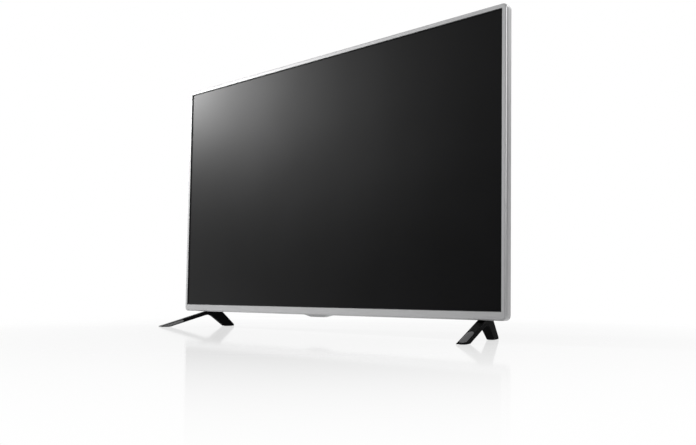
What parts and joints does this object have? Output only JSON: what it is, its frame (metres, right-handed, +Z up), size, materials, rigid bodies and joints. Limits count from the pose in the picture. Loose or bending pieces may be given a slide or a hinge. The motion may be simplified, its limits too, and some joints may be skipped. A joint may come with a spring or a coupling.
{
  "type": "flat screen television",
  "caption": "Flat screen television with a slim silver frame, sloped black back shell and splayed blade feet, with its screen stack, boards, speakers and joystick inside.",
  "frame": {"origin": "on the floor, midway between the feet and under the front face of the frame", "axes": "+X to the viewer's right along the screen's width, +Y from the front face to the back, +Z up"},
  "size_m": [1.241, 0.2309, 0.7645],
  "materials": {
    "bezel_silver": "fine brushed silver coat",
    "cabinet_silver": "satin silver coat",
    "cover_black": "fine textured",
    "terminal_black": "satin",
    "screen_glass": "semi-gloss polariser",
    "guide_black": "satin",
    "foot_black": "soft gloss",
    "pad_rubber": "matte",
    "screw_steel": "black zinc",
    "board_screw_steel": "bright zinc",
    "pan_steel": "zinc coated",
    "shield_tin": "tinned",
    "socket_nickel": "nickel plated",
    "socket_plastic": "moulded",
    "lens_smoke": "smoked clear",
    "board_green": "solder mask",
    "board_tan": "phenolic paper",
    "chip_black": "moulded epoxy",
    "sink_aluminium": "extruded",
    "capacitor_sleeve": "shrunk sleeve",
    "transformer_tape": "taped winding and ferrite",
    "film_amber": "polyimide",
    "ribbon_white": "flat flexible cable",
    "optical_film": "translucent film",
    "diffuser_milk": "milky",
    "reflector_white": "white foam film",
    "strip_aluminium": "white solder mask",
    "led_phosphor": "phosphor",
    "lens_clear": "clear acrylic",
    "lead_black": "jacket",
    "lead_sleeve": "bundled wires",
    "lead_red": "jacket",
    "lead_grey": "jacket",
    "speaker_black": "moulded",
    "driver_steel": "blackened",
    "cone_paper": "pressed paper",
    "joystick_nylon": "moulded nylon",
    "knob_silver": "satin"
  },
  "bodies": {
    "set": {"front_bezel": "bezel_silver", "middle_cabinet": "cabinet_silver", "joystick_housing": "cabinet_silver", "rear_cover": "cover_black", "terminal_plate": "terminal_black", "lcd_cell": "screen_glass", "panel_guide_frame": "guide_black", "foot_left": "foot_black", "foot_right": "foot_black", "foot_pads": "pad_rubber", "rear_cover_screws": "screw_steel", "foot_screws": "screw_steel", "board_screws": "board_screw_steel", "backlight_pan": "pan_steel", "wall_mount_rail_left": "pan_steel", "wall_mount_rail_right": "pan_steel", "stand_bracket_left": "pan_steel", "stand_bracket_right": "pan_steel", "t_con_shield": "shield_tin", "hdmi_sockets": "socket_nickel", "usb_sockets": "socket_nickel", "lan_socket": "socket_nickel", "antenna_socket": "socket_nickel", "optical_socket": "socket_plastic", "av_jack": "socket_plastic", "ac_inlet": "socket_plastic", "sensor_lens": "lens_smoke", "main_board": "board_green", "t_con_board": "board_green", "source_boards": "board_green", "sensor_board": "board_green", "power_board": "board_tan", "main_board_chips": "chip_black", "main_heatsink": "sink_aluminium", "power_capacitors": "capacitor_sleeve", "power_transformers": "transformer_tape", "lcd_flex_films": "film_amber", "ribbon_cables": "ribbon_white", "prism_sheet": "optical_film", "diffuser_sheet": "optical_film", "diffuser_plate": "diffuser_milk", "diffuser_supports": "diffuser_milk", "reflector_sheet": "reflector_white", "led_strips": "strip_aluminium", "led_chips": "led_phosphor", "led_lenses": "lens_clear", "inlet_lead": "lead_black", "video_cable": "lead_black", "power_harness": "lead_sleeve", "backlight_harness": "lead_sleeve", "speaker_leads": "lead_red", "sensor_lead": "lead_grey", "speaker_box_left": "speaker_black", "speaker_box_right": "speaker_black", "speaker_drivers": "driver_steel"},
    "ring": {"joystick_ring": "joystick_nylon"},
    "rocker": {"joystick_rocker": "joystick_nylon"},
    "knob": {"joystick_knob": "knob_silver"},
    "cone_left": {"speaker_cone_left": "cone_paper"},
    "cone_right": {"speaker_cone_right": "cone_paper"}
  },
  "joints": [
    {"name": "joystick_fore_aft", "type": "hinge", "parent": "set", "child": "ring", "pos_m": [0, 0.015, 0.052], "axis": [1, 0, 0], "range_deg": [-6, 6], "stiffness_Nm_per_rad": 0.08},
    {"name": "joystick_left_right", "type": "hinge", "parent": "ring", "child": "rocker", "pos_m": [0, 0.015, 0.052], "axis": [0, 1, 0], "range_deg": [-6, 6], "stiffness_Nm_per_rad": 0.08},
    {"name": "joystick_press", "type": "slide", "parent": "rocker", "child": "knob", "axis": [0, 0, 1], "range_m": [0, 0.0005], "stiffness_N_per_m": 2000},
    {"name": "cone_stroke_left", "type": "slide", "parent": "set", "child": "cone_left", "axis": [0, 0, 1], "range_m": [-0.001, 0.001], "stiffness_N_per_m": 800},
    {"name": "cone_stroke_right", "type": "slide", "parent": "set", "child": "cone_right", "axis": [0, 0, 1], "range_m": [-0.001, 0.001], "stiffness_N_per_m": 800}
  ]
}
